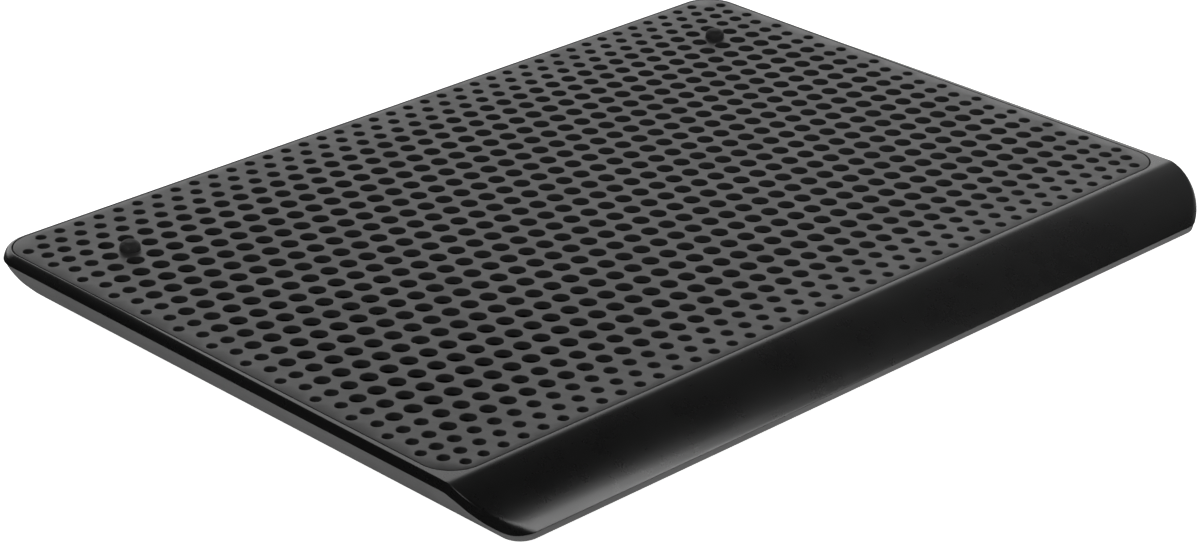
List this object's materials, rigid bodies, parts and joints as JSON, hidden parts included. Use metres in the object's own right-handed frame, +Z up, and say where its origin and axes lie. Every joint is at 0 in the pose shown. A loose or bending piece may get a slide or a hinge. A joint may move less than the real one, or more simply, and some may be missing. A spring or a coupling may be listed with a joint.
{
  "type": "laptop cooling pad",
  "caption": "Flat laptop cooling pad: perforated deck in a black frame with a rolled-down front edge, tapered base shell, slim fans under the deck and rubber feet.",
  "frame": {"origin": "middle of the pad's footprint, on the table under the rubber feet", "axes": "+X to the user's right along the long side, +Y to the rear, +Z up"},
  "size_m": [0.3774, 0.2716, 0.0238],
  "materials": {
    "frame_gloss": "satin-gloss moulded black",
    "deck_matte": "fine matte texture, black",
    "shell_satin": "fine matte texture, dark grey",
    "rubber": "matte black rubber",
    "fan_plastic": "glass-filled moulded black",
    "screw_steel": "zinc-plated steel",
    "core_steel": "laminated or pressed steel",
    "winding": "enamelled copper wire",
    "magnet": "bonded ferrite",
    "bronze": "oil-filled sintered bronze",
    "clip_plastic": "natural nylon",
    "board": "glass-fibre board with solder mask",
    "lead_sheath": "PVC insulated twin lead"
  },
  "bodies": {
    "case": {"top_frame": "frame_gloss", "mesh_panel": "deck_matte", "rubber_stop_left": "rubber", "rubber_stop_right": "rubber", "bottom_shell": "shell_satin", "case_screws": "screw_steel", "power_board": "board", "board_screws": "screw_steel", "cable_grommet": "rubber", "foot_front_left": "rubber", "foot_front_right": "rubber", "foot_rear_left": "rubber", "foot_rear_right": "rubber", "fan_frame_left": "fan_plastic", "fan_screws_left": "screw_steel", "fan_lead_left": "lead_sheath", "sleeve_bearing_left": "bronze", "stator_core_left": "core_steel", "stator_coils_left": "winding", "fan_board_left": "board", "fan_frame_right": "fan_plastic", "fan_screws_right": "screw_steel", "fan_lead_right": "lead_sheath", "sleeve_bearing_right": "bronze", "stator_core_right": "core_steel", "stator_coils_right": "winding", "fan_board_right": "board"},
    "rotor_left": {"impeller_left": "fan_plastic", "rotor_cup_left": "core_steel", "magnet_ring_left": "magnet", "fan_shaft_left": "screw_steel", "shaft_clip_left": "clip_plastic"},
    "rotor_right": {"impeller_right": "fan_plastic", "rotor_cup_right": "core_steel", "magnet_ring_right": "magnet", "fan_shaft_right": "screw_steel", "shaft_clip_right": "clip_plastic"}
  },
  "joints": [
    {"name": "fan_left_spin", "type": "hinge", "parent": "case", "child": "rotor_left", "pos_m": [-0.09, 0.0116, 0.0049], "axis": [0, 0, 1], "continuous": true},
    {"name": "fan_right_spin", "type": "hinge", "parent": "case", "child": "rotor_right", "pos_m": [0.09, 0.0116, 0.0049], "axis": [0, 0, 1], "continuous": true}
  ]
}
